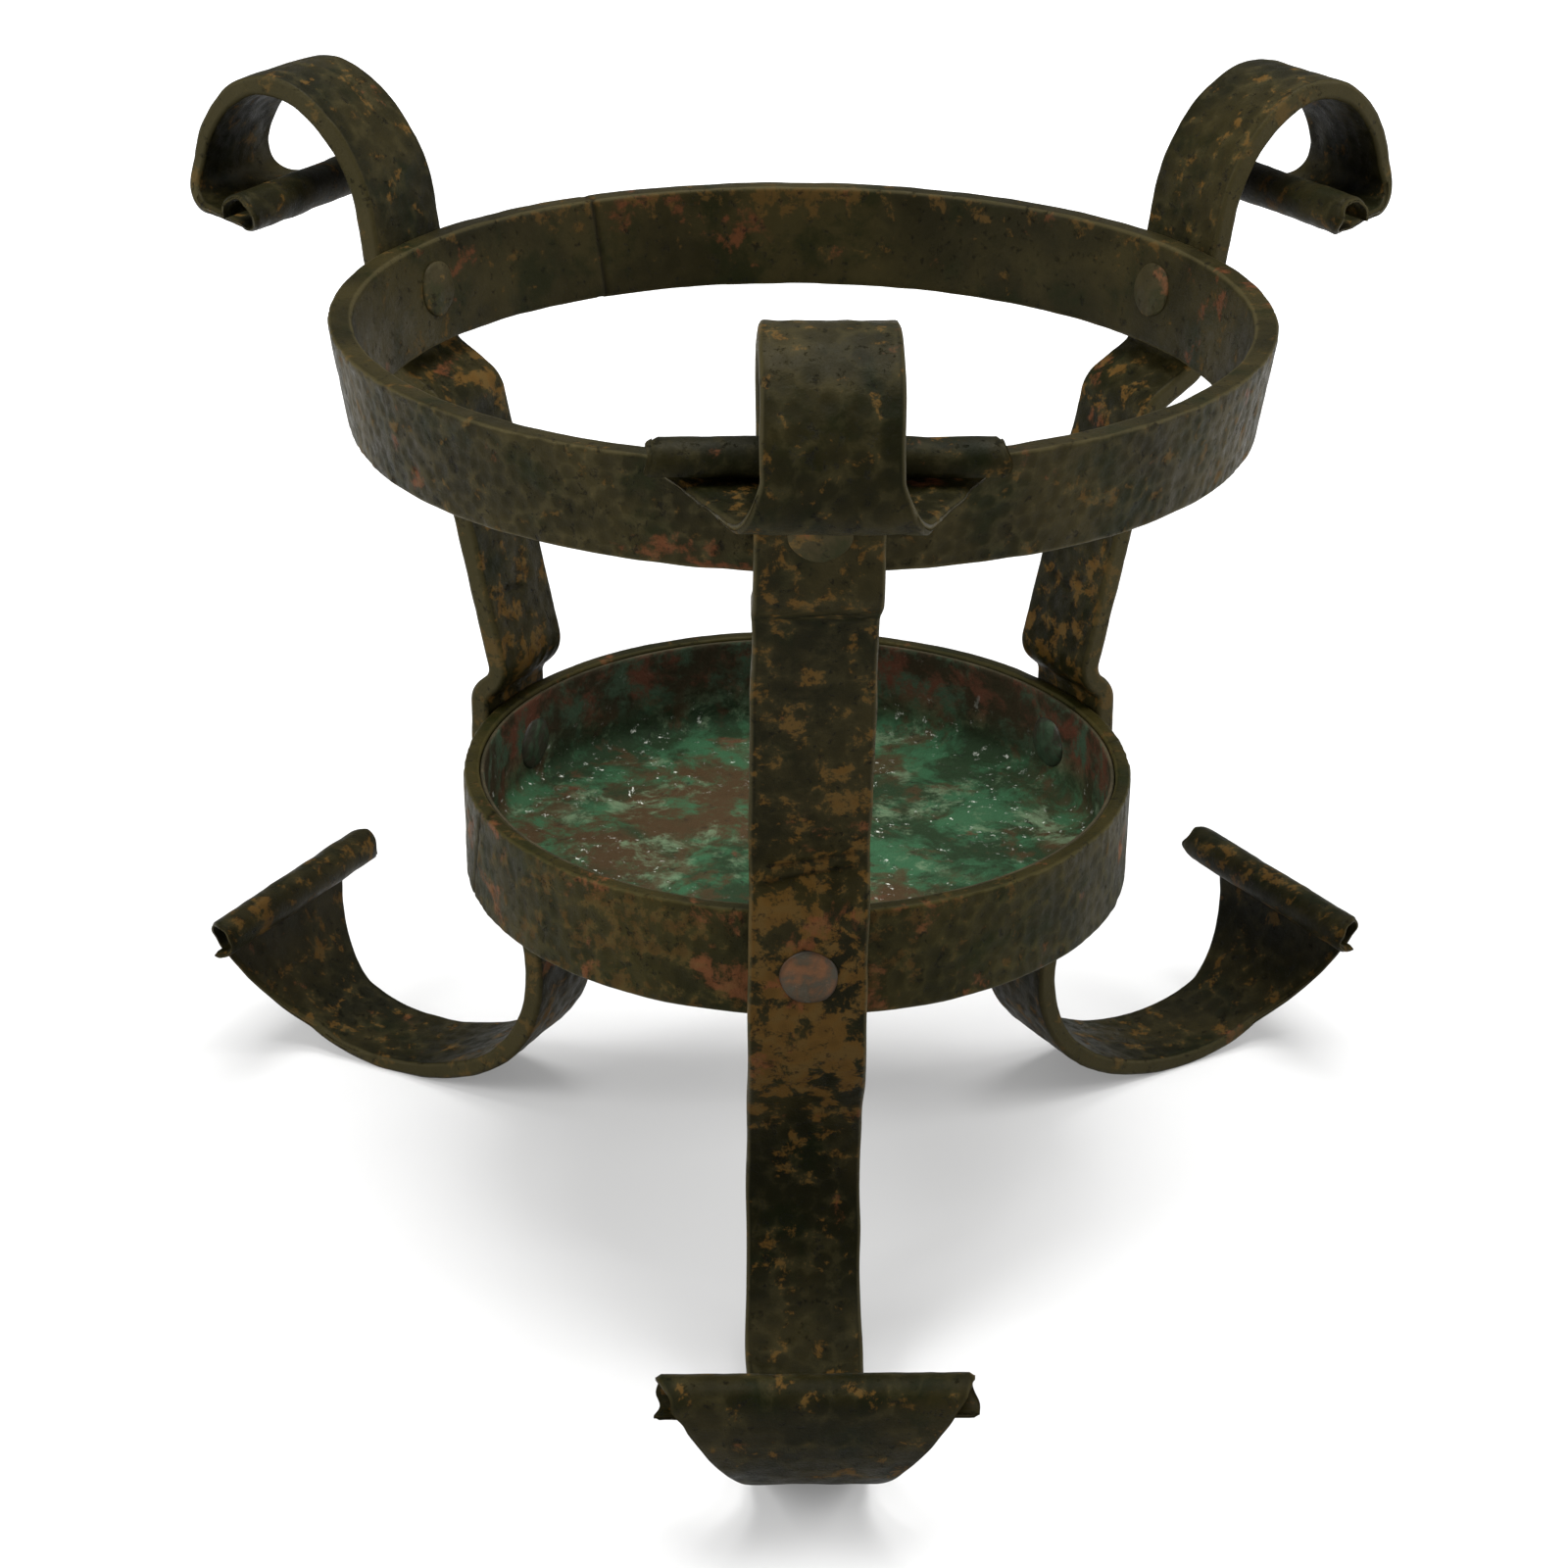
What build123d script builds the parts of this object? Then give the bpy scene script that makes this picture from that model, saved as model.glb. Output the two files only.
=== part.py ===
from build123d import *
from math import atan, cos, degrees, radians, sin, tan
import os

# Hammered tripod brazier: a coal pan held in a hoop, a pot ring above it and three strap
# legs riveted to both. Millimetres, +Z up. The origin is the centre of the pot ring's top
# rim, where a pot rests, so the feet stand at z = -stand_height. One leg faces -Y.

# ---- bar and sheet stock ---------------------------------------------------------------
strap_width = 25.5
strap_thickness = 5.2
ring_bar_thickness = 5.4
hoop_bar_thickness = 3.8
dish_sheet_thickness = 1.0

# ---- overall levels and radii ----------------------------------------------------------
stand_height = 215.5          # floor up to the ring's top rim
ring_top_radius = 101.6       # outside, at the rim
ring_taper = 3.6              # how much smaller the radius is at the lower edge
ring_height = 23.5
ring_to_hoop_gap = 84.0       # ring's lower edge down to the hoop's rim
hoop_radius = 76.2            # outside
hoop_height = 25.0
edge_break = 0.5              # softened edges of ring and hoop

# ---- dish ------------------------------------------------------------------------------
dish_rim_drop = 0.8           # dish edge below the hoop's rim
dish_floor_rise = 1.0         # dish underside above the hoop's lower edge
dish_corner_radius = 5.0      # outside, where the floor turns up into the wall

# ---- strap between hoop and ring -------------------------------------------------------
hoop_joggle_offset = 6.2      # how far the strap steps in above the hoop
hoop_joggle_slope = 48.0      # degrees from upright
ring_shoulder_offset = 12.0   # how far the strap steps out under the ring
ring_shoulder_slope = 60.0    # degrees from upright
bend_clearance = 1.0          # straight strap left between a bar's edge and a bend
tight_bend_radius = 3.0       # inner face, where it is inside the bend
wide_bend_radius = 8.2        # inner face, where it is outside the bend

# ---- scroll over the ring and foot: mid-line bends as (radius, degrees) -----------------
scroll_rise = 8.0             # straight strap above the ring's rim
scroll_arch = [(33.0, 53.0), (17.5, 69.0), (27.0, 46.0), (5.5, 95.0)]
scroll_tail = 20.0            # straight strap from the last bend to the roll
foot_tuck = (29.0, 28.0)      # bend in under the hoop
foot_sweep = [(53.0, 24.0), (34.0, 67.0), (60.0, 36.0), (35.0, 80.0)]
foot_wear = 0.3               # depth hammered flat where the foot meets the floor
roll_radius = 3.9             # mid-line radius of the rolled ends
roll_turn = 285.0             # degrees
end_width = 64.0              # flared width at the rolls
end_thickness = 1.8           # drawn thin at the rolls
scroll_flare_start = 0.66     # share of the bent length where the strap starts to widen
foot_flare_start = 0.76
flare_power = 1.15            # above 1 the strap widens faster toward its end
flared_roll = 0.35            # share of the roll that is still widening
thinning_power = 2.0          # above 1 the strap keeps its thickness longer
station_spacing = 8.0
station_turn = 24.0           # most degrees between two sections of a bend

# ---- rivets ----------------------------------------------------------------------------
rivet_shank = 6.0
rivet_head = 12.6
rivet_head_height = 1.3
rivet_dome_radius = 22.0

# ---- levels worked out from the sizes above --------------------------------------------
floor_z = -stand_height
ring_bottom_radius = ring_top_radius - ring_taper
hoop_top_z = -ring_height - ring_to_hoop_gap
hoop_bottom_z = hoop_top_z - hoop_height
hoop_inside_radius = hoop_radius - hoop_bar_thickness
ring_lean = degrees(atan(ring_taper / ring_height))
leg_angles = {"front": -90.0, "rear_right": 30.0, "rear_left": 150.0}


def upper_ring():
    """Flat bar on edge, bent to a ring that widens toward its rim."""
    outline = Polyline(
        (ring_bottom_radius - ring_bar_thickness, -ring_height),
        (ring_bottom_radius, -ring_height),
        (ring_top_radius, 0),
        (ring_top_radius - ring_bar_thickness, 0),
        close=True,
    )
    bar = make_face(outline)
    return revolve(Plane.XZ * fillet(bar.vertices(), edge_break), Axis.Z)


def pan_hoop():
    """Upright flat bar bent to a hoop round the coal pan."""
    middle_radius = (hoop_radius + hoop_inside_radius) / 2
    middle_z = (hoop_top_z + hoop_bottom_z) / 2
    bar = Pos(middle_radius, middle_z) * Rectangle(hoop_bar_thickness, hoop_height)
    return revolve(Plane.XZ * fillet(bar.vertices(), edge_break), Axis.Z)


def pan_dish():
    """Thin sheet dish: flat floor, rounded corner, wall flat against the hoop's inside."""
    top = hoop_top_z - dish_rim_drop
    bottom = hoop_bottom_z + dish_floor_rise
    sheet = dish_sheet_thickness
    upward = (Align.CENTER, Align.CENTER, Align.MIN)
    body = Pos(0, 0, bottom) * Cylinder(hoop_inside_radius, top - bottom, align=upward)
    body = fillet(body.edges().sort_by(Axis.Z)[0], dish_corner_radius)
    hollow = Pos(0, 0, bottom + sheet) * Cylinder(
        hoop_inside_radius - sheet, top - bottom, align=upward
    )
    hollow = fillet(hollow.edges().sort_by(Axis.Z)[0], dish_corner_radius - sheet)
    return body - hollow


def strap_between():
    """The riveted stretch of a leg, from the hoop's lower edge to the ring's rim.

    Its inner face lies on the hoop, steps in above it, leans out to the ring, steps out
    under it in a shoulder and then lies along the ring's sloping side.
    """
    hoop_setback = tight_bend_radius * tan(radians(hoop_joggle_slope / 2))
    ring_setback = tight_bend_radius * tan(radians((ring_shoulder_slope - ring_lean) / 2))
    hoop_corner_z = hoop_top_z + bend_clearance + hoop_setback
    step_in_z = hoop_corner_z + hoop_joggle_offset / tan(radians(hoop_joggle_slope))
    below_ring = bend_clearance + ring_setback
    shoulder_radius = ring_bottom_radius - below_ring * tan(radians(ring_lean))
    shoulder_z = -ring_height - below_ring
    step_out_z = shoulder_z - ring_shoulder_offset / tan(radians(ring_shoulder_slope))
    inner_face = FilletPolyline(
        (hoop_radius, hoop_bottom_z),
        (hoop_radius, hoop_corner_z),
        (hoop_radius - hoop_joggle_offset, step_in_z),
        (shoulder_radius - ring_shoulder_offset, step_out_z),
        (shoulder_radius, shoulder_z),
        (ring_top_radius, 0),
        radius=[tight_bend_radius, wide_bend_radius, wide_bend_radius, tight_bend_radius],
    )
    side = make_face(offset(inner_face, strap_thickness, side=Side.RIGHT, closed=True))
    return extrude(Plane.XZ * side, strap_width / 2, both=True)


def walk(radius, z, heading, bends):
    """Stations (radius, z, heading, length so far) along a chain of tangent bends.

    A heading of 0 degrees runs up and 90 runs outward. A bend is (radius, turn in degrees);
    a bend of radius None is a straight of that length.
    """
    stations = [(radius, z, heading, 0.0)]
    done = 0.0
    for bend_radius, turn in bends:
        straight = bend_radius is None
        length = turn if straight else abs(radians(turn)) * bend_radius
        steps = max(2, round(length / station_spacing))
        if not straight:
            steps = max(steps, round(abs(turn) / station_turn))
        step_turn = 0.0 if straight else turn / steps
        chord = length / steps
        if not straight:
            chord = 2 * bend_radius * sin(radians(abs(step_turn) / 2))
        for _ in range(steps):
            chord_heading = radians(heading + step_turn / 2)
            radius += chord * sin(chord_heading)
            z += chord * cos(chord_heading)
            heading += step_turn
            done += length / steps
            stations.append((radius, z, heading, done))
    return stations


def ease(share):
    """Smooth rise from 0 to 1 as the share goes from 0 to 1."""
    return share * share * (3 - 2 * share)


def drawn_thickness(stations, done):
    """Strap thickness at a length, drawn thin by the start of the roll."""
    share = min(1.0, done / (stations[-1][3] - radians(roll_turn) * roll_radius))
    return strap_thickness + (end_thickness - strap_thickness) * ease(share**thinning_power)


def spread_width(stations, done, flare_start):
    """Strap width at a length, spread to its full flare a little way into the roll."""
    widening = stations[-1][3] - (1 - flared_roll) * radians(roll_turn) * roll_radius
    share = min(1.0, done / widening)
    flare = max(0.0, (share - flare_start) / (1 - flare_start)) ** flare_power
    return strap_width + (end_width - strap_width) * flare


def forged_end(stations, flare_start):
    """Strap that thins and flares along its stations and ends in the open roll."""
    sections = []
    for radius, z, heading, done in stations:
        width = spread_width(stations, done, flare_start)
        thickness = drawn_thickness(stations, done)
        direction = (sin(radians(heading)), 0, cos(radians(heading)))
        plane = Plane(origin=(radius, 0, z), x_dir=(0, 1, 0), z_dir=direction)
        sections.append(plane * Rectangle(width, thickness))
    return loft(sections)


def scroll():
    """Top of a leg: up from the ring, over in an arch and back into the roll."""
    start_radius = ring_top_radius + strap_thickness / 2 * cos(radians(ring_lean))
    start_z = -strap_thickness / 2 * sin(radians(ring_lean))
    bends = [(None, scroll_rise)] + scroll_arch + [(None, scroll_tail), (roll_radius, roll_turn)]
    return forged_end(walk(start_radius, start_z, ring_lean, bends), scroll_flare_start)


def foot():
    """Lower end of a leg: tucked in under the hoop, swept out to the floor and up."""
    start_radius = hoop_radius + strap_thickness / 2
    sweep = [(radius, -turn) for radius, turn in foot_sweep]
    roll = [(roll_radius, -roll_turn)]

    def path(tuck_straight):
        return [foot_tuck, (None, tuck_straight)] + sweep + roll

    # The straight after the tuck is as long as it takes to bring the foot to the floor.
    trial = 10.0
    lowest = lowest_face(walk(start_radius, hoop_bottom_z, 180.0, path(trial)))
    extra = (lowest - floor_z + foot_wear) / cos(radians(foot_tuck[1]))
    stations = walk(start_radius, hoop_bottom_z, 180.0, path(trial + extra))
    return forged_end(stations, foot_flare_start)


def lowest_face(stations):
    """Height of the strap's lower face where its mid-line runs level."""
    _, z, _, done = min(stations, key=lambda station: station[1])
    return z - drawn_thickness(stations, done) / 2


def rivet_frames():
    """Axis frame and grip (inward, outward) of the ring rivet and the pan rivet.

    Each frame sits on the strap's inner face with its local Z pointing outward.
    """
    ring_radius = (ring_top_radius + ring_bottom_radius) / 2
    slope = radians(ring_lean)
    ring_frame = Plane(
        origin=(ring_radius, 0, -ring_height / 2),
        x_dir=(0, 1, 0),
        z_dir=(cos(slope), 0, -sin(slope)),
    )
    pan_frame = Plane(
        origin=(hoop_radius, 0, (hoop_top_z + hoop_bottom_z) / 2),
        x_dir=(0, 1, 0),
        z_dir=(1, 0, 0),
    )
    ring_grip = ring_bar_thickness * cos(slope)
    pan_grip = hoop_bar_thickness + dish_sheet_thickness
    return {"ring": (ring_frame, ring_grip), "pan": (pan_frame, pan_grip)}


def shank_hole(frame, grip):
    """Cutter for a rivet's hole through everything it holds."""
    length = grip + strap_thickness + 2 * rivet_head_height
    return frame * Pos(0, 0, -grip - rivet_head_height) * Cylinder(
        rivet_shank / 2, length, align=(Align.CENTER, Align.CENTER, Align.MIN)
    )


def rivet(frame, grip, held):
    """Two-headed rivet, its inner head bedded on the curved face it clamps."""
    upward = (Align.CENTER, Align.CENTER, Align.MIN)
    length = grip + strap_thickness
    shank = Pos(0, 0, -grip) * Cylinder(rivet_shank / 2, length, align=upward)
    dome_centre = rivet_head_height - rivet_dome_radius
    outer = Cylinder(rivet_head / 2, rivet_head_height, align=upward)
    outer = outer & Pos(0, 0, dome_centre) * Sphere(rivet_dome_radius)
    bed = Pos(0, 0, -rivet_head_height) * Cylinder(rivet_head / 2, rivet_head_height, align=upward)
    inner = Rot(180, 0, 0) * (outer + bed)
    whole = shank + Pos(0, 0, strap_thickness) * outer + Pos(0, 0, -grip) * inner
    whole = frame * whole
    for piece in held:
        whole = whole - piece
    return whole.solids().sort_by(SortBy.VOLUME)[-1]


def leg(holes):
    """One strap leg in the XZ plane, drilled, its foot hammered flat on the floor."""
    strap = strap_between() + scroll() + foot()
    reach = 3 * ring_top_radius
    floor = Pos(0, 0, floor_z) * Box(
        reach, reach, reach, align=(Align.CENTER, Align.CENTER, Align.MAX)
    )
    return strap - floor - holes


def build():
    """Every piece of the brazier by the name of its node."""
    frames = rivet_frames()
    ring, hoop, dish = upper_ring(), pan_hoop(), pan_dish()
    holes = {name: shank_hole(*frames[name]) for name in frames}
    straight_leg = leg(holes["ring"] + holes["pan"])
    for angle in leg_angles.values():
        ring = ring - Rot(0, 0, angle) * holes["ring"]
        hoop = hoop - Rot(0, 0, angle) * holes["pan"]
        dish = dish - Rot(0, 0, angle) * holes["pan"]
    pieces = {"upper_ring": ring, "pan_hoop": hoop, "pan_dish": dish}
    turn_to_front = Rot(0, 0, -leg_angles["front"])
    front_ring, front_hoop, front_dish = (turn_to_front * p for p in (ring, hoop, dish))
    ring_rivet = rivet(*frames["ring"], [front_ring, straight_leg])
    pan_rivet = rivet(*frames["pan"], [front_hoop, front_dish, straight_leg])
    for name, angle in leg_angles.items():
        pieces[f"leg_{name}"] = Rot(0, 0, angle) * straight_leg
        pieces[f"ring_rivet_{name}"] = Rot(0, 0, angle) * ring_rivet
        pieces[f"pan_rivet_{name}"] = Rot(0, 0, angle) * pan_rivet
    return pieces


if __name__ == "__main__":
    os.makedirs("parts", exist_ok=True)
    for name, piece in build().items():
        piece.label = name
        export_step(piece, f"parts/{name}.step")
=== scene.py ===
import math

import bpy
import numpy as np
from mathutils import Matrix, Vector


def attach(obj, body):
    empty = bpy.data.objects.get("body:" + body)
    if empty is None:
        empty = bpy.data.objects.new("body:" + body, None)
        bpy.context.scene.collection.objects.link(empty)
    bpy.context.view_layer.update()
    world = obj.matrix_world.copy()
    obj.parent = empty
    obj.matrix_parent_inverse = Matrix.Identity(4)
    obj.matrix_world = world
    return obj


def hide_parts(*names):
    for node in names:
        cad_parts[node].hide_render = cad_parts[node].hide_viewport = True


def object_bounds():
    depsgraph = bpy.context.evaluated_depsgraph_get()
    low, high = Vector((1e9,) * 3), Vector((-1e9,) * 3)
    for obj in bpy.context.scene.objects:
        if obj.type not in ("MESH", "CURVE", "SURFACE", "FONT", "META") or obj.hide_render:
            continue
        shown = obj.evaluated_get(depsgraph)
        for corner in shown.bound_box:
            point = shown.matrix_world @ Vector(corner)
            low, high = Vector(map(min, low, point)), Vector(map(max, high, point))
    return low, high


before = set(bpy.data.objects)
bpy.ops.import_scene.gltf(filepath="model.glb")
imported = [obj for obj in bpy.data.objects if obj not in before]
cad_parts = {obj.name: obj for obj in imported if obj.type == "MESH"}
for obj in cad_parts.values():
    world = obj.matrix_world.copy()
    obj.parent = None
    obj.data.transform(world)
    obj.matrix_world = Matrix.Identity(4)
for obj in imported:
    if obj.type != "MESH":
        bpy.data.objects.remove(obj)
cad_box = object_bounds()


# ---- floor, light and camera -----------------------------------------------------------
# The brazier stands on a plain pale table under soft studio light: one broad lamp
# overhead, one to each side, and a bright even surround.

floor_z = cad_box[0][2]

floor_mesh = bpy.data.meshes.new("floor")
floor_half = 6.0
floor_mesh.from_pydata(
    [(-floor_half, -floor_half, floor_z), (floor_half, -floor_half, floor_z),
     (floor_half, floor_half, floor_z), (-floor_half, floor_half, floor_z)],
    [], [(0, 1, 2, 3)],
)
floor = bpy.data.objects.new("floor", floor_mesh)
bpy.context.collection.objects.link(floor)

pale = bpy.data.materials.new("pale_floor")
pale.use_nodes = True
paint = pale.node_tree.nodes["Principled BSDF"]
paint.inputs["Base Color"].default_value = (0.52, 0.52, 0.518, 1)
paint.inputs["Roughness"].default_value = 0.8
paint.inputs["Specular IOR Level"].default_value = 0.1
paint.inputs["Emission Strength"].default_value = 1.0
# the table glows a little, more so away from the stand, so that it fades out to white
floor_nodes = pale.node_tree
place = floor_nodes.nodes.new("ShaderNodeTexCoord")
distance = floor_nodes.nodes.new("ShaderNodeVectorMath")
distance.operation = "LENGTH"
glow = floor_nodes.nodes.new("ShaderNodeMapRange")
glow.inputs["From Min"].default_value = 0.30
glow.inputs["From Max"].default_value = 0.85
glow.inputs["To Min"].default_value = 0.20
glow.inputs["To Max"].default_value = 0.90
floor_nodes.links.new(place.outputs["Object"], distance.inputs[0])
floor_nodes.links.new(distance.outputs["Value"], glow.inputs["Value"])
floor_nodes.links.new(glow.outputs["Result"], paint.inputs["Emission Color"])
floor_mesh.materials.append(pale)

surround = bpy.data.worlds.new("studio")
bpy.context.scene.world = surround
surround.use_nodes = True
surround.node_tree.nodes["Background"].inputs["Color"].default_value = (1, 1, 1, 1)
surround.node_tree.nodes["Background"].inputs["Strength"].default_value = 0.36
bpy.context.scene.view_settings.view_transform = "Standard"


def hang_lamp(name, place, size, power):
    """A soft square lamp at a place in metres, aimed at the pan."""
    lamp = bpy.data.lights.new(name, "AREA")
    lamp.size, lamp.energy = size, power
    holder = bpy.data.objects.new(name, lamp)
    bpy.context.collection.objects.link(holder)
    holder.location = place
    aim = Vector((0, 0, -0.1)) - Vector(place)
    holder.rotation_euler = aim.to_track_quat("-Z", "Y").to_euler()


hang_lamp("lamp_overhead", (0.1, 0.1, 1.5), 1.2, 42)
hang_lamp("lamp_left", (-1.3, -0.5, 0.7), 0.9, 22)
hang_lamp("lamp_right", (1.4, -0.1, 0.6), 0.9, 17)

# The camera looks down on the stand from the front, a little to the left of the front leg.
camera_place = Vector((-0.02472, -0.67407, 0.20548))
camera_down, camera_turn, camera_tilt = 0.4425, 0.03223, 0.0113
ahead = Vector((
    math.sin(camera_turn) * math.cos(camera_down),
    math.cos(camera_turn) * math.cos(camera_down),
    -math.sin(camera_down),
))
level = Vector((math.cos(camera_turn), -math.sin(camera_turn), 0))
upright = level.cross(ahead)
right = math.cos(camera_tilt) * level + math.sin(camera_tilt) * upright
top = math.cos(camera_tilt) * upright - math.sin(camera_tilt) * level
lens = bpy.data.cameras.new("camera")
lens.sensor_width = 36
lens.lens = 74.58
lens.clip_end = 50
camera = bpy.data.objects.new("camera", lens)
bpy.context.collection.objects.link(camera)
camera.matrix_world = Matrix.Translation(camera_place) @ Matrix(
    (right, top, -ahead)
).transposed().to_4x4()
bpy.context.scene.camera = camera


# ---- upper ring ------------------------------------------------------------------------
# The pot ring is a flat copper-alloy bar bent on edge and hammered outside, its inner face
# left nearly smooth. Its ends meet in a plain butt joint behind the rear left leg.


def hammer_marks(along, across, spacing, seed, wrap=0):
    """Hammered surface: 0 in the middle of each dent, near 1 on the lands between them.

    along and across are distances over the surface; wrap is the number of dents after
    which the pattern repeats round a closed ring.
    """
    table = np.random.default_rng(seed).random((509, 3))
    a, b = along / spacing, across / spacing
    cell_a, cell_b = np.floor(a).astype(int), np.floor(b).astype(int)
    deepest = np.zeros(a.shape)
    for da in (-1, 0, 1):
        for db in (-1, 0, 1):
            ca, cb = cell_a + da, cell_b + db
            key = np.mod(ca, wrap) if wrap else ca
            spot = table[np.mod(key * 157 + cb * 331 + key * cb * 17, 509)]
            reach = np.hypot(ca + 0.1 + 0.8 * spot[..., 0] - a, cb + 0.1 + 0.8 * spot[..., 1] - b)
            blow = (0.45 + 0.55 * spot[..., 2]) * np.exp(-((reach / 0.40) ** 2.4))
            deepest = np.maximum(deepest, blow)
    return 1 - deepest


def slow_waves(along, across, seed, count=14, longest=60.0, shortest=9.0):
    """Gentle unevenness left by the hammer, about -1 to 1, from a few seeded waves."""
    chance = np.random.default_rng(seed)
    total = np.zeros(np.broadcast(along, across).shape)
    for _ in range(count):
        length = shortest * (longest / shortest) ** chance.random()
        turn = chance.random() * 2 * math.pi
        total += np.sin(
            2 * math.pi * (along * math.cos(turn) + across * math.sin(turn)) / length
            + chance.random() * 2 * math.pi
        )
    return total / math.sqrt(count)


def skin(name, points, closed_across=True, closed_along=False, marks=None, caps=False):
    """Mesh object over a grid of points (along, across, xyz) in millimetres."""
    rows, columns = points.shape[:2]
    mesh = bpy.data.meshes.new(name)
    count = np.arange(rows * columns).reshape(rows, columns)
    if closed_along:
        count = np.concatenate([count, count[:1]], 0)
    if closed_across:
        count = np.concatenate([count, count[:, :1]], 1)
    faces = np.stack([count[:-1, :-1], count[:-1, 1:], count[1:, 1:], count[1:, :-1]], -1)
    faces = faces.reshape(-1, 4).tolist()
    if caps:
        faces += [list(range(columns))[::-1], list(range((rows - 1) * columns, rows * columns))]
    mesh.from_pydata((points.reshape(-1, 3) / 1000).tolist(), [], faces)
    for title, values in (marks or {}).items():
        layer = mesh.attributes.new(title, "FLOAT", "POINT")
        layer.data.foreach_set("value", np.asarray(values, np.float32).ravel())
    mesh.polygons.foreach_set("use_smooth", [True] * len(mesh.polygons))
    piece = bpy.data.objects.new(name, mesh)
    bpy.context.collection.objects.link(piece)
    return piece


class Bench:
    """Adds nodes to one material and joins them, so that a finish reads as a short recipe."""

    def __init__(self, name):
        self.material = bpy.data.materials.new(name)
        self.material.use_nodes = True
        self.tree = self.material.node_tree
        self.metal = self.tree.nodes["Principled BSDF"]
        place = self.tree.nodes.new("ShaderNodeTexCoord")
        self.place = place.outputs["Object"]

    def join(self, source, target):
        self.tree.links.new(source, target)

    def noise(self, scale, detail=6.0, roughness=0.6, distortion=0.0, shift=(0, 0, 0)):
        mapping = self.tree.nodes.new("ShaderNodeMapping")
        mapping.inputs["Location"].default_value = shift
        self.join(self.place, mapping.inputs["Vector"])
        node = self.tree.nodes.new("ShaderNodeTexNoise")
        self.join(mapping.outputs["Vector"], node.inputs["Vector"])
        node.inputs["Scale"].default_value = scale
        node.inputs["Detail"].default_value = detail
        node.inputs["Roughness"].default_value = roughness
        node.inputs["Distortion"].default_value = distortion
        return node.outputs["Fac"]

    def mark(self, title):
        node = self.tree.nodes.new("ShaderNodeAttribute")
        node.attribute_name = title
        return node.outputs["Fac"]

    def between(self, value, low, high):
        """0 below low, 1 above high, smooth between them."""
        node = self.tree.nodes.new("ShaderNodeMapRange")
        node.interpolation_type = "SMOOTHSTEP"
        self.join(value, node.inputs["Value"])
        node.inputs["From Min"].default_value = low
        node.inputs["From Max"].default_value = high
        return node.outputs["Result"]

    def both(self, first, second, how="MULTIPLY"):
        node = self.tree.nodes.new("ShaderNodeMath")
        node.operation = how
        node.use_clamp = True
        for value, socket in ((first, node.inputs[0]), (second, node.inputs[1])):
            if isinstance(value, (int, float)):
                socket.default_value = value
            else:
                self.join(value, socket)
        return node.outputs[0]

    def over(self, under, colour, amount):
        """Lay a colour over another by an amount from 0 to 1."""
        node = self.tree.nodes.new("ShaderNodeMix")
        node.data_type = "RGBA"
        self.join(amount, node.inputs[0])
        for value, socket in ((under, node.inputs[6]), (colour, node.inputs[7])):
            if isinstance(value, tuple):
                socket.default_value = (*value, 1)
            else:
                self.join(value, socket)
        return node.outputs[2]

    def finish(self, colour, roughness, height, depth, metallic):
        """Send colour, roughness, relief (depth in metres) and metal share to the shader."""
        self.join(colour, self.metal.inputs["Base Color"])
        self.join(roughness, self.metal.inputs["Roughness"])
        self.join(metallic, self.metal.inputs["Metallic"])
        bump = self.tree.nodes.new("ShaderNodeBump")
        bump.inputs["Strength"].default_value = 1.0
        bump.inputs["Distance"].default_value = depth
        self.join(height, bump.inputs["Height"])
        self.join(bump.outputs["Normal"], self.metal.inputs["Normal"])
        return self.material


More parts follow.
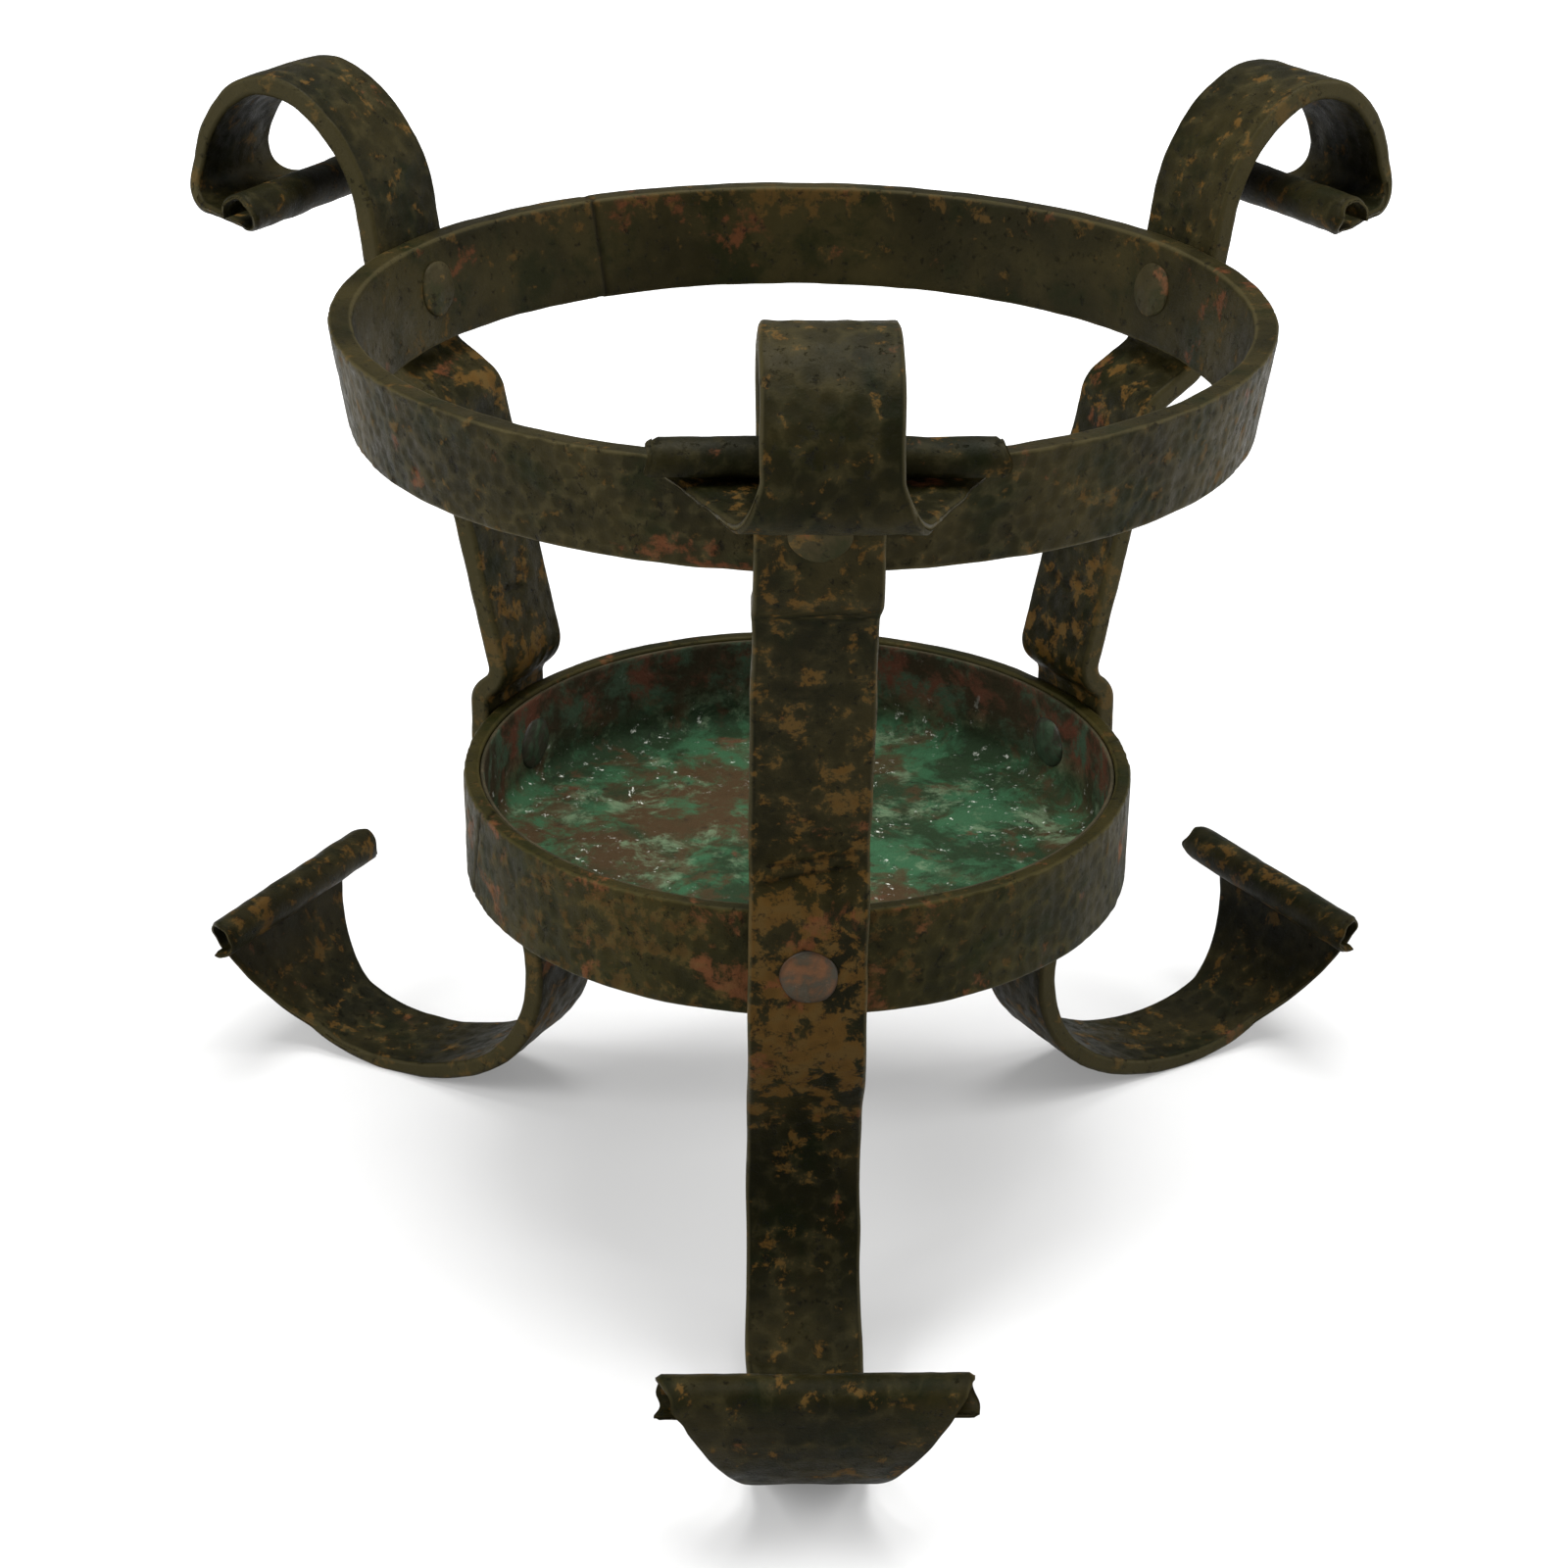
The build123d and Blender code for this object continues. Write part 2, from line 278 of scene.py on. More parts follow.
def aged_bronze(name, shift, ground, sheen, ochre, ochre_from, copper, copper_from):
    """Hammered copper alloy under an old brown-green skin, worn back in patches.

    ground and sheen are the skin's dark and light tones; ochre and copper are the worn
    patches, each laid where its noise rises above the *_from level.
    """
    bench = Bench(name)
    bench.metal.inputs["Specular IOR Level"].default_value = 0.05
    ridge, edge, wear = bench.mark("ridge"), bench.mark("edge"), bench.mark("wear")
    clouds = bench.noise(34, 7, 0.6, 0.3, shift)
    mottle = bench.noise(170, 9, 0.7, 0.25, (shift[0] + 3, shift[1], shift[2]))
    blotch = bench.noise(48, 10, 0.66, 0.2, (shift[0], shift[1] + 7, shift[2]))
    grain = bench.noise(1100, 4, 0.7, 0, shift)
    colour = bench.over(ground, sheen, bench.between(clouds, 0.36, 0.66))
    green = (ground[0] * 0.7, ground[1] * 1.02, ground[2] * 0.75)
    greening = bench.between(bench.noise(60, 8, 0.66, 0.2, (9, shift[1], 2)), 0.5, 0.66)
    colour = bench.over(colour, green, bench.both(greening, 0.8))
    worn = bench.both(mottle, bench.both(wear, 0.22), "ADD")
    worn = bench.both(worn, bench.both(bench.both(clouds, 0.5, "SUBTRACT"), 0.35), "ADD")
    ochre_mask = bench.between(worn, ochre_from, ochre_from + 0.07)
    colour = bench.over(colour, ochre, bench.both(ochre_mask, 0.8))
    bare = bench.both(blotch, bench.both(wear, 0.10), "ADD")
    copper_mask = bench.between(bare, copper_from, copper_from + 0.05)
    copper_mask = bench.both(copper_mask, bench.between(mottle, 0.36, 0.5))
    colour = bench.over(colour, copper, bench.both(copper_mask, 0.75))
    # painted highlight, partly real: a pale steel-grey tone laid on the hammer ridges and the edges,
    # standing for rubbed bright metal and for glints of the lamps
    rubbed_and_highlight_tone = (sheen[0] * 3.2, sheen[1] * 3.3, sheen[2] * 4.6)
    ridge_rub_and_highlight = bench.both(bench.between(ridge, 0.7, 1.0), bench.between(mottle, 0.38, 0.6))
    colour = bench.over(colour, rubbed_and_highlight_tone, bench.both(ridge_rub_and_highlight, 0.22))
    # painted highlight along every edge, partly worn bright metal
    colour = bench.over(colour, rubbed_and_highlight_tone, bench.both(bench.between(edge, 0.4, 1.0), 0.45))
    dark_tone = (ground[0] * 0.32, ground[1] * 0.32, ground[2] * 0.36)
    # darker towards the middle of each dent, where the ridge mark is low
    colour = bench.over(colour, dark_tone, bench.both(bench.between(ridge, 0.72, 0.25), 0.14))
    pits = bench.between(bench.noise(420, 6, 0.72, 0.2, shift), 0.57, 0.68)
    colour = bench.over(colour, dark_tone, bench.both(pits, 0.7))
    colour = bench.over(colour, dark_tone, bench.mark("seam"))
    rough = bench.tree.nodes.new("ShaderNodeMapRange")
    bench.join(bench.both(mottle, bench.both(grain, 0.3), "ADD"), rough.inputs["Value"])
    rough.inputs["From Min"].default_value = 0.45
    rough.inputs["From Max"].default_value = 0.85
    rough.inputs["To Min"].default_value = 0.36
    rough.inputs["To Max"].default_value = 0.66
    relief = bench.both(bench.both(grain, 0.3), bench.both(mottle, 0.5), "ADD")
    relief = bench.both(relief, bench.both(pits, 0.3), "SUBTRACT")
    metallic = bench.both(bench.between(mottle, 0.62, 0.4), 0.12)
    return bench.finish(colour, rough.outputs["Result"], relief, 0.0004, metallic)


def bar_outline(corners, step, inset=0.55):
    """Points round a bar's section in millimetres, its corners eased.

    Returns each point's radius, height, outward normal, side number, distance along its
    side and distance to the nearest corner.
    """
    rows = []
    sides = len(corners)
    for side in range(sides):
        start, end = np.array(corners[side], float), np.array(corners[(side + 1) % sides], float)
        length = np.hypot(*(end - start))
        direction = (end - start) / length
        for reach in np.linspace(inset, length - inset, max(2, round(length / step))):
            spot = start + direction * reach
            rows.append((*spot, direction[1], -direction[0], side, reach, min(reach, length - reach)))
    return np.array(rows).T


def bent_bar(name, corners, mean_radius, step_round, step_section, treat):
    """A bar bent to a closed ring round Z; treat(...) gives its relief and its marks."""
    radius, height, normal_r, normal_z, side, reach, corner = bar_outline(corners, step_section)
    turns = round(2 * math.pi * mean_radius / step_round)
    angle = np.linspace(0, 2 * math.pi, turns, endpoint=False)[:, None]
    relief, marks = treat(angle, side[None, :], reach[None, :], corner[None, :])
    r = radius + relief * normal_r
    z = height + relief * normal_z
    points = np.stack([r * np.cos(angle), r * np.sin(angle), z + 0 * angle], -1)
    return skin(name, points, True, True, marks)


ring_top_radius, ring_bottom_radius = 101.6, 98.0
ring_bar_thickness, ring_height = 5.4, 23.5
ring_corners = [
    (ring_bottom_radius, -ring_height),
    (ring_top_radius, 0),
    (ring_top_radius - ring_bar_thickness, 0),
    (ring_bottom_radius - ring_bar_thickness, -ring_height),
]
ring_seam_angle = math.radians(119)


def ring_surface(angle, side, reach, corner):
    """Outside deeply hammered, rim and inside lightly; a seam line behind the rear leg."""
    radius = (ring_top_radius + ring_bottom_radius) / 2
    marks_round = 196
    spacing = 2 * math.pi * radius / marks_round
    around = angle * radius
    outside = hammer_marks(around, reach, spacing, 11, marks_round)
    inside = hammer_marks(around, reach, spacing * 2, 12, marks_round // 2)
    waves = slow_waves(around, reach, 13)
    ridge = np.where(side == 0, outside, 0.3 * inside)
    relief = np.where(side == 0, -0.30 * (1 - outside), -0.07 * (1 - inside))
    relief = relief - 0.10 * (1 + np.clip(waves, -1, 1)) - 0.25 * np.exp(-((corner / 0.7) ** 2))
    gap = (np.mod(angle - ring_seam_angle + math.pi, 2 * math.pi) - math.pi) * radius
    seam = np.exp(-(((gap + 0.08 * (reach - 10)) / 0.55) ** 2)) + 0 * reach
    relief = relief - 0.45 * seam
    edge = np.exp(-((corner / 1.1) ** 2)) + 0 * angle
    facing_back = np.clip(np.sin(angle), 0, 1) * np.where(side == 2, 1.0, 0.0)
    inside_face = np.where(side == 2, 1.0, 0.0)
    wear = 0.15 - 0.3 * inside_face + 0.8 * facing_back * np.exp(-((reach / 7.0) ** 2)) + 0 * reach
    return relief, {"ridge": ridge, "edge": edge, "wear": wear, "seam": 0.8 * seam}


ring = bent_bar("pot_ring", ring_corners, ring_top_radius, 0.6, 0.7, ring_surface)
ring.data.materials.append(aged_bronze(
    "ring_patina", (0.4, 0.1, 0.2), (0.0105, 0.0088, 0.0024), (0.0260, 0.0205, 0.0062),
    (0.062, 0.034, 0.008), 0.62, (0.090, 0.030, 0.011), 0.63,
))
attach(ring, "root")
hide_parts("upper_ring")


# ---- pan hoop --------------------------------------------------------------------------
# The hoop round the coal pan is a lighter flat bar, hammered outside and bent until its
# tapered ends lap; the lap shows as a slanting line over the rim at the front left.

hoop_radius, hoop_bar_thickness, hoop_height = 76.2, 3.8, 25.0
hoop_top_z = -ring_height - 84.0
hoop_bottom_z = hoop_top_z - hoop_height
hoop_inside_radius = hoop_radius - hoop_bar_thickness
hoop_corners = [
    (hoop_radius, hoop_bottom_z),
    (hoop_radius, hoop_top_z),
    (hoop_inside_radius, hoop_top_z),
    (hoop_inside_radius, hoop_bottom_z),
]
hoop_lap_angle = math.radians(203)
hoop_scratch_angle = math.radians(8)


def hoop_surface(angle, side, reach, corner):
    """Hammered outside, dressed rim, slanting lap line and a short second line."""
    marks_round = 132
    spacing = 2 * math.pi * hoop_radius / marks_round
    around = angle * hoop_radius
    outside = hammer_marks(around, reach, spacing, 21, marks_round)
    waves = slow_waves(around, reach, 23)
    relief = np.where(side == 0, -0.26 * (1 - outside), -0.04 * (1 - outside))
    relief = relief - 0.08 * (1 + np.clip(waves, -1, 1)) - 0.2 * np.exp(-((corner / 0.6) ** 2))
    gap = (np.mod(angle - hoop_lap_angle + math.pi, 2 * math.pi) - math.pi) * hoop_radius
    slant = np.where(side == 1, 1.1 * (reach - 1.9), np.where(side == 0, 0.35 * (25 - reach) + 2, 0))
    seam = np.exp(-(((gap + slant) / 0.5) ** 2)) * np.where(side == 3, 0.3, 1.0)
    gap = (np.mod(angle - hoop_scratch_angle + math.pi, 2 * math.pi) - math.pi) * hoop_radius
    seam = seam + 0.6 * np.exp(-(((gap + 0.5 * reach) / 0.45) ** 2)) * np.where(side == 1, 1.0, 0.0)
    relief = relief - 0.35 * seam
    edge = np.exp(-((corner / 0.9) ** 2)) + 0 * angle
    front = np.clip(-np.sin(angle + math.radians(20)), 0, 1)
    wear = 0.1 + 0.5 * front**2 * np.where(side == 0, 1.0, 0.2) + 0 * reach
    ridge = np.where(side == 0, outside, 0.3)
    return relief, {"ridge": ridge, "edge": edge, "wear": wear, "seam": np.clip(seam, 0, 1)}


hoop = bent_bar("coal_pan_hoop", hoop_corners, hoop_radius, 0.6, 0.7, hoop_surface)
hoop.data.materials.append(aged_bronze(
    "hoop_patina", (1.7, 0.3, 0.8), (0.0095, 0.0088, 0.0018), (0.0225, 0.0180, 0.0040),
    (0.046, 0.026, 0.006), 0.640, (0.105, 0.038, 0.014), 0.590,
))
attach(hoop, "root")
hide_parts("pan_hoop")


# ---- pan dish --------------------------------------------------------------------------
# The coal dish is thin copper sheet sunk into the hoop, its edge dressed just under the
# rim. Ash and damp have left it crusted with verdigris, with brown and bare red patches.

sheet = 1.0
dish_top = hoop_top_z - 0.8
dish_under = hoop_bottom_z + 1.0
dish_floor = dish_under + sheet
corner_inside, corner_outside = 4.0, 5.0


def quarter(radius, height, bend, start):
    """Points of a quarter bend from floor to wall, or from wall to floor."""
    turn = np.linspace(start, 90 - start, 9) * math.pi / 180
    return [(radius + bend * math.sin(t), height - bend * math.cos(t)) for t in turn]


wall_inside = hoop_inside_radius - sheet
dish_line = [(0.02, dish_floor)]
dish_line += [(r, dish_floor) for r in np.arange(1.2, wall_inside - corner_inside, 0.9)]
dish_line += quarter(wall_inside - corner_inside, dish_floor + corner_inside, corner_inside, 0)
dish_line += [(wall_inside, z) for z in np.linspace(dish_floor + corner_inside + 1, dish_top - 0.25, 20)]
dish_line += [(wall_inside + 0.25, dish_top), (hoop_inside_radius - 0.3, dish_top)]
dish_side = np.linspace(dish_top - 0.3, dish_under + corner_outside, 8)
dish_line += [(hoop_inside_radius - 0.05, z) for z in dish_side]
corner_centre = (hoop_inside_radius - corner_outside, dish_under + corner_outside)
dish_line += quarter(*corner_centre, corner_outside, 0)[::-1]
dish_line += [(r, dish_under) for r in np.arange(hoop_inside_radius - corner_outside - 1, 1, -2.5)]
dish_line += [(0.02, dish_under)]
dish_line = np.array(dish_line)

angle = np.linspace(0, 2 * math.pi, 420, endpoint=False)[:, None]
r, z = dish_line[None, :, 0], dish_line[None, :, 1]
x, y = r * np.cos(angle), r * np.sin(angle)
flat = np.clip((wall_inside - 6 - r) / 12, 0, 1)
dents = hammer_marks(x + 200, y + 200, 7.5, 31)
sag = flat * (0.35 * slow_waves(x, y, 32, 16, 70, 14) - 0.25 * (1 - dents))
z = z + sag
points = np.stack([x, y, z], -1)
upper_side = np.zeros(len(dish_line))
upper_side[: int(np.argmax(dish_line[:, 1] >= dish_top))] = 1
wall = np.clip((dish_line[:, 1] - dish_floor - 2) / 10, 0, 1)
dish = skin("coal_dish", points, False, True, {
    "crust": upper_side + 0 * angle,
    "wall": wall + 0 * angle,
    "ridge": dents * (r > 0),
})


def verdigris():
    """Copper sheet crusted green, with brown ash stains, bare red metal and pale specks."""
    bench = Bench("dish_verdigris")
    bench.metal.inputs["Specular IOR Level"].default_value = 0.10
    broad = bench.noise(22, 9, 0.64, 0.3, (0.3, 0.1, 0))
    patches = bench.noise(50, 10, 0.72, 0.35, (2.3, 5.1, 1))
    fine = bench.noise(300, 9, 0.74, 0.2)
    brown, dark_green = (0.036, 0.021, 0.008), (0.010, 0.022, 0.008)
    green, mint, chalk = (0.022, 0.072, 0.032), (0.095, 0.140, 0.078), (0.66, 0.68, 0.60)
    red, dark_tone = (0.075, 0.024, 0.012), (0.006, 0.006, 0.004)
    colour = bench.over(brown, dark_green, bench.between(broad, 0.42, 0.56))
    colour = bench.over(colour, green, bench.both(bench.between(patches, 0.46, 0.60), 0.9))
    pale = bench.between(bench.noise(80, 10, 0.74, 0.3, (4, 4, 4)), 0.52, 0.66)
    colour = bench.over(colour, mint, bench.both(pale, 0.8))
    stained = bench.between(bench.noise(64, 9, 0.68, 0.3, (8, 1, 2)), 0.53, 0.63)
    colour = bench.over(colour, brown, bench.both(stained, 0.8))
    bare = bench.between(bench.noise(44, 8, 0.66, 0.3, (1, 8, 2)), 0.58, 0.68)
    colour = bench.over(colour, red, bench.both(bare, 0.75))
    colour = bench.over(colour, dark_tone, bench.both(bench.between(fine, 0.56, 0.70), 0.75))
    specks = bench.both(bench.between(bench.noise(420, 6, 0.74, 0, (6, 2, 1)), 0.60, 0.68),
                        bench.between(bench.noise(30, 6, 0.62, 0.4, (3, 3, 7)), 0.46, 0.60))
    colour = bench.over(colour, chalk, bench.both(specks, 0.7))
    crusts = bench.both(bench.between(bench.noise(38, 10, 0.74, 0.3, (2, 9, 5)), 0.635, 0.66), 0.8)
    colour = bench.over(colour, chalk, crusts)
    wall = bench.mark("wall")
    rust = bench.over((0.020, 0.014, 0.006), (0.075, 0.022, 0.012), bench.between(patches, 0.47, 0.60))
    greened = bench.between(bench.noise(90, 9, 0.72, 0.3, (5, 5, 1)), 0.48, 0.62)
    wall_green = bench.over(rust, (0.032, 0.052, 0.030), greened)
    colour = bench.over(colour, wall_green, bench.both(wall, 0.9))
    under = bench.over((0.022, 0.019, 0.009), (0.046, 0.037, 0.019), bench.between(patches, 0.4, 0.62))
    colour = bench.over(under, colour, bench.mark("crust"))
    relief = bench.both(bench.both(patches, 0.6), bench.both(fine, 0.4), "ADD")
    rough = bench.tree.nodes.new("ShaderNodeMapRange")
    bench.join(fine, rough.inputs["Value"])
    rough.inputs["To Min"].default_value = 0.5
    rough.inputs["To Max"].default_value = 0.85
    metallic = bench.both(bench.between(patches, 0.5, 0.35), 0.05)
    return bench.finish(colour, rough.outputs["Result"], relief, 0.0015, metallic)


dish.data.materials.append(verdigris())
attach(dish, "root")
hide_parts("pan_dish")


# ---- legs ------------------------------------------------------------------------------
# Each leg is one hammered copper-alloy strap, bent in under the hoop and out to a foot,
# shouldered under the ring and scrolled over above it; both ends are drawn thin, spread and
# rolled into a small open tube.

strap_width, strap_thickness = 25.5, 5.2
end_width, end_thickness = 64.0, 1.8
roll_radius, roll_turn = 3.9, 285.0
bend_radius = 3.0 + strap_thickness / 2
ring_lean = math.degrees(math.atan((ring_top_radius - ring_bottom_radius) / ring_height))
leg_angles = {"front": -90.0, "rear_right": 30.0, "rear_left": 150.0}
strap_step = 0.75
foot_flare_start, scroll_flare_start = 0.76, 0.66
flare_power = 1.15
rolled_share = 0.65


def walk(radius, height, heading, bends):
    """Mid-line stations (radius, height, heading, length) along tangent bends and straights."""
    stations = [(radius, height, heading, 0.0)]
    done = 0.0
    for bend, turn in bends:
        length = turn if bend is None else abs(math.radians(turn)) * bend
        steps = max(1, math.ceil(length / strap_step))
        step_turn = 0.0 if bend is None else turn / steps
        for _ in range(steps):
            way = math.radians(heading + step_turn / 2)
            radius += length / steps * math.sin(way)
            height += length / steps * math.cos(way)
            heading += step_turn
            done += length / steps
            stations.append((radius, height, heading, done))
    return np.array(stations)


def strap_between():
    """Mid-line from the hoop's lower edge up to the ring's rim, as the strap lies on both."""
    clear, tight = 1.0, 3.0
    hoop_corner = hoop_top_z + clear + tight * math.tan(math.radians(24))
    below_ring = clear + tight * math.tan(math.radians((60 - ring_lean) / 2))
    shoulder = ring_bottom_radius - below_ring * math.tan(math.radians(ring_lean))
    inner = np.array([
        (hoop_radius, hoop_bottom_z),
        (hoop_radius, hoop_corner),
        (hoop_radius - 6.2, hoop_corner + 6.2 / math.tan(math.radians(48))),
        (shoulder - 12, -ring_height - below_ring - 12 / math.tan(math.radians(60))),
        (shoulder, -ring_height - below_ring),
        (ring_top_radius, 0),
    ])
    runs = np.diff(inner, axis=0)
    headings = np.degrees(np.arctan2(runs[:, 0], runs[:, 1]))
    out = np.stack([np.cos(np.radians(headings)), -np.sin(np.radians(headings))], 1)
    shifted = inner[:-1] + out * strap_thickness / 2
    middle = [shifted[0]]
    for k in range(1, len(runs)):
        # where the two offset runs cross
        a, b = runs[k - 1], runs[k]
        gap = shifted[k] - shifted[k - 1]
        share = (gap[0] * b[1] - gap[1] * b[0]) / (a[0] * b[1] - a[1] * b[0])
        middle.append(shifted[k - 1] + a * share)
    middle.append(inner[-1] + out[-1] * strap_thickness / 2)
    middle = np.array(middle)
    lengths = np.hypot(*np.diff(middle, axis=0).T)
    setback = [0.0]
    setback += [bend_radius * math.tan(math.radians(abs(t)) / 2) for t in np.diff(headings)]
    setback += [0.0]
    bends = []
    for k, length in enumerate(lengths):
        bends.append((None, length - setback[k] - setback[k + 1]))
        if k + 1 < len(lengths):
            bends.append((bend_radius, headings[k + 1] - headings[k]))
    return walk(*middle[0], 0.0, bends)


def scroll():
    """Mid-line from the ring's rim over the scroll and into its roll."""
    lean = math.radians(ring_lean)
    start = (ring_top_radius + strap_thickness / 2 * math.cos(lean), -strap_thickness / 2 * math.sin(lean))
    arch = [(33.0, 53.0), (17.5, 69.0), (27.0, 46.0), (5.5, 95.0)]
    return walk(*start, ring_lean, [(None, 8.0)] + arch + [(None, 20.0), (roll_radius, roll_turn)])


def foot():
    """Mid-line from the hoop's lower edge down, round the foot and into its roll."""
    sweep = [(53.0, -24.0), (34.0, -67.0), (60.0, -36.0), (35.0, -80.0)]
    start = (hoop_radius + strap_thickness / 2, hoop_bottom_z)

    def run(straight):
        return walk(*start, 180.0, [(29.0, 28.0), (None, straight)] + sweep + [(roll_radius, -roll_turn)])

    # The straight is as long as it takes for the foot's underside to touch the floor.
    trial = run(10.0)
    lowest = trial[:, 1].argmin()
    under = trial[lowest, 1] - 0.5 * drawn_thickness(trial)[lowest]
    return run(10.0 + (under - floor_z * 1000 + 0.1) / math.cos(math.radians(28)))


def drawn_thickness(stations):
    """Strap thickness as it is drawn thin toward the roll."""
    share = np.minimum(1, stations[:, 3] / (stations[-1, 3] - math.radians(roll_turn) * roll_radius)) ** 2
    return strap_thickness + (end_thickness - strap_thickness) * share**2 * (3 - 2 * share)


def spread_width(stations, start):
    """Strap width as it is spread toward the roll, from a share of the bent length."""
    widening = stations[-1, 3] - rolled_share * math.radians(roll_turn) * roll_radius
    share = np.minimum(1, stations[:, 3] / widening)
    spread = np.maximum(0, (share - start) / (1 - start)) ** flare_power
    return strap_width + (end_width - strap_width) * spread


middle, top_end, bottom_end = strap_between(), scroll(), foot()
parts = []
stretches = [
    (bottom_end, foot_flare_start, True),
    (middle, None, False),
    (top_end, scroll_flare_start, False),
]
for stations, start, reverse in stretches:
    width = np.full(len(stations), strap_width) if start is None else spread_width(stations, start)
    thick = np.full(len(stations), strap_thickness) if start is None else drawn_thickness(stations)
    rows = np.column_stack([stations, width, thick])
    if reverse:
        rows = rows[::-1].copy()
        rows[:, 2] -= 180
    parts.append(rows)
strap = np.concatenate([parts[0], parts[1][1:], parts[2][1:]])
steps = np.hypot(*np.diff(strap[:, :2], axis=0).T)
strap[:, 3] = np.concatenate([[0], np.cumsum(steps)])


def strap_section(count):
    """Shares round the strap's section: (across -1..1, side +1 outer / -1 inner / 0 edge, rise)."""
    across = np.linspace(-1, 1, count)
    across = 0.7 * across + 0.3 * np.sin(across * math.pi / 2)
    section = [(a, 1, 1) for a in across]
    section += [(1, 0, rise) for rise in (0.5, 0, -0.5)]
    section += [(a, -1, -1) for a in across[::-1]]
    section += [(-1, 0, rise) for rise in (-0.5, 0, 0.5)]
    return np.array(section, float).T


def forge_leg(name, degrees, seed):
    """Hammered mesh of one leg, turned to its place."""
    across, side, rise = (v[None, :] for v in strap_section(42))
    r, z, heading, along, width, thick = (v[:, None] for v in strap.T)
    total = along[-1, 0]
    near_end = np.minimum(along, total - along)
    ragged = np.exp(-((near_end / 22) ** 2))
    waver = slow_waves(along, 0, seed + 1, 18, 90, 12) * 0.15
    left = width / 2 - 0.2 + waver + ragged * 0.9 * slow_waves(along, 0, seed + 2, 12, 16, 4)
    waver = slow_waves(along, 0, seed + 3, 18, 90, 12) * 0.15
    right = width / 2 - 0.2 + waver + ragged * 0.9 * slow_waves(along, 0, seed + 4, 12, 16, 4)
    out = across * np.where(across < 0, left, right)
    half_width = np.where(across < 0, left, right)
    ease = 0.85
    from_edge = half_width - np.abs(out)
    rounding = ease - np.sqrt(np.maximum(0, ease**2 - (ease - from_edge) ** 2))
    fall = np.where(from_edge < ease, rounding, 0)
    fall = np.minimum(fall, 0.42 * thick)
    lift = np.where(side == 0, rise * (thick / 2 - 0.3), side * (thick / 2 - fall))
    spacing = 4.2
    outer = hammer_marks(along + 500, out + 300, spacing, seed + 5)
    inner = hammer_marks(along + 500, out + 300, spacing, seed + 6)
    marks = np.where(side > 0, outer, inner)
    fades = np.clip(from_edge / 1.2, 0, 1)
    depth = np.where(side > 0, 0.24, 0.30) * np.clip(thick / 4, 0.45, 1)
    # the strap is left flat where it beds on ring and hoop
    bedded = np.clip(1 - np.maximum(0, np.abs(z + ring_height / 2) - 12) / 3, 0, 1)
    hoop_middle_z = (hoop_top_z + hoop_bottom_z) / 2
    bedded = bedded + np.clip(1 - np.maximum(0, np.abs(z - hoop_middle_z) - 12) / 3, 0, 1)
    bedded = np.clip(bedded * (r < 110), 0, 1) * (side < 0)
    if name == "leg_front":
        # the front strap is dressed nearly smooth between hoop and ring
        dressed = np.exp(-(((z + 62) / 36) ** 4)) * (r < 100)
        marks = 1 - (1 - marks) * (1 - 0.7 * dressed)
    waves = 0.10 * slow_waves(along, out, seed + 7, 14, 50, 10)
    dent = -(depth * (1 - marks) * fades + 0.1 + np.clip(waves, -0.1, 0.3)) * (1 - 0.9 * bedded)
    # chisel nicks across the inner face of the rear legs, a crease above the hoop in front
    if name == "leg_front":
        nicks = [(hoop_top_z + 8, 0.0, 11.0, 1, 0.5), (hoop_top_z + 12.5, 1.0, 9.0, 1, 0.35)]
    else:
        nicks = [(hoop_top_z + 27, 2.0, 5.0, -1, 0.6), (hoop_top_z + 29.5, -2.5, 3.0, -1, 0.35)]
    nick_mark = 0 * along + 0 * out
    for level, centre, half, face, deep in nicks:
        line = np.exp(-(((z - level - 0.22 * (out - centre)) / 0.55) ** 2))
        line = line * np.clip((half - np.abs(out - centre)) / 2, 0, 1) * (side == face) * (r < 100)
        dent = dent - deep * line
        nick_mark = nick_mark + line
    h = np.radians(heading)
    normal_r, normal_z = np.cos(h), -np.sin(h)
    push = lift + np.where(side == 0, 0, side) * dent
    pr = r + normal_r * push
    pz = np.maximum(z + normal_z * push, floor_z * 1000)
    turn = math.radians(degrees)
    x = pr * math.cos(turn) - out * math.sin(turn)
    y = pr * math.sin(turn) + out * math.cos(turn)
    points = np.stack([x, y, pz + 0 * x], -1)
    edge = np.where(side == 0, 1, np.exp(-((from_edge / 1.0) ** 2))) + 0 * x
    # worn metal: low on every leg, and on the front leg's crest and middle stretch as well
    if name == "leg_front":
        low = 0.55 * np.exp(-(((z - hoop_bottom_z) / 40) ** 2))
        crest = 0.22 * np.exp(-(((z - 10) / 30) ** 2)) * (side > 0)
        stretch = 0.16 * np.exp(-(((z + 62) / 40) ** 4))
        low = low + crest + stretch
    else:
        low = 0.35 * np.exp(-(((z + 130) / 70) ** 2))
    below_ring = 0.15 * np.exp(-(((z + 34) / 14) ** 2)) * (side < 0)
    wear = np.clip(low * (r < 145) + below_ring, 0, 1) + 0 * x
    return skin(name + "_strap", points, True, False, {
        "ridge": np.where(side == 0, 0.4, marks * fades), "edge": edge, "wear": wear,
        "seam": np.clip(nick_mark, 0, 1) * 0.6,
    }, caps=True)


for index, (place, degrees) in enumerate(leg_angles.items()):
    leg = forge_leg("leg_" + place, degrees, 100 + 20 * index)
    leg.data.materials.append(aged_bronze(
        "leg_patina_" + place, (2.1 * index, 0.7, 1.3 * index),
        (0.0062, 0.0058, 0.0014), (0.0190, 0.0150, 0.0042),
        (0.078, 0.040, 0.008), 0.585, (0.100, 0.034, 0.012), 0.64,
    ))
    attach(leg, "root")
    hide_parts("leg_" + place)


# ---- rivets ----------------------------------------------------------------------------
# Copper rivets, their ends hammered to low round heads: one holds each leg to the ring and
# one goes through leg, hoop and dish. The pan rivets are rubbed back to red outside.

rivet_head, rivet_shank, head_height, dome = 6.3, 3.0, 1.3, 22.0


